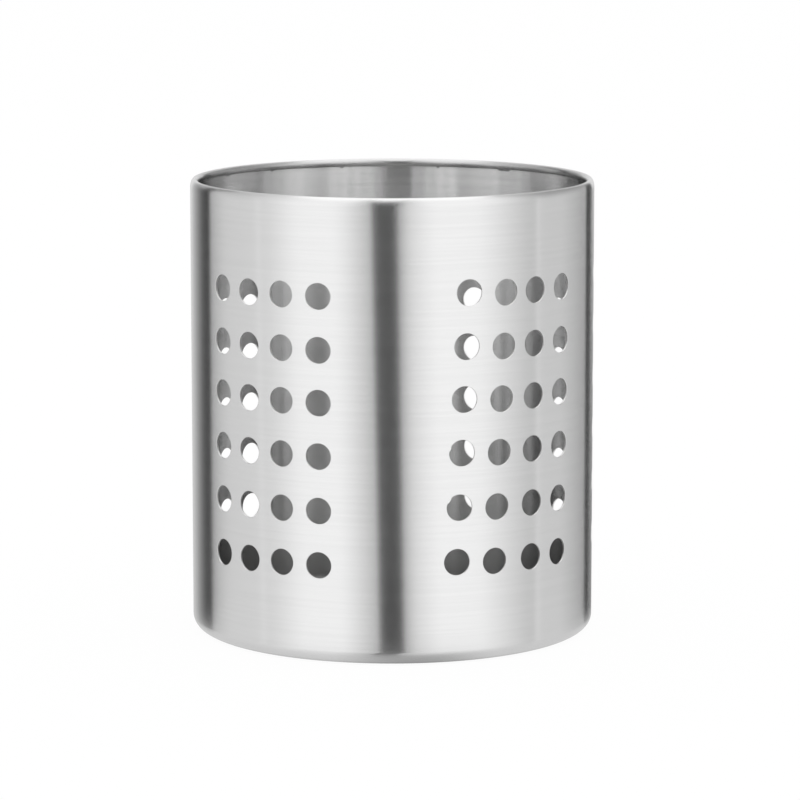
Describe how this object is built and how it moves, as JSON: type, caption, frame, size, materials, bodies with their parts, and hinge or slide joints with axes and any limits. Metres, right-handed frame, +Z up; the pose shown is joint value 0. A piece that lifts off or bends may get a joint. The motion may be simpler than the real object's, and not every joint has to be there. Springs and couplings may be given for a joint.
{
  "type": "cutlery holder",
  "caption": "Upright round cutlery holder of brushed steel sheet, punched with groups of round holes, with a rolled rim and a drain floor.",
  "frame": {"origin": "centre of the foot, on the surface that the holder stands on", "axes": "+Z up along the drum's axis; -Y is the front, the middle of the plain strip between two groups of holes; +X is to the right of the front"},
  "size_m": [0.12, 0.12, 0.135],
  "materials": {
    "brushed_steel": "stainless sheet brushed round the drum, with fine level streaks",
    "plain_steel": "plain mill finish of the pressed floor"
  },
  "bodies": {
    "root": {"drum_wall": "brushed_steel", "floor_pan": "plain_steel"}
  },
  "joints": []
}
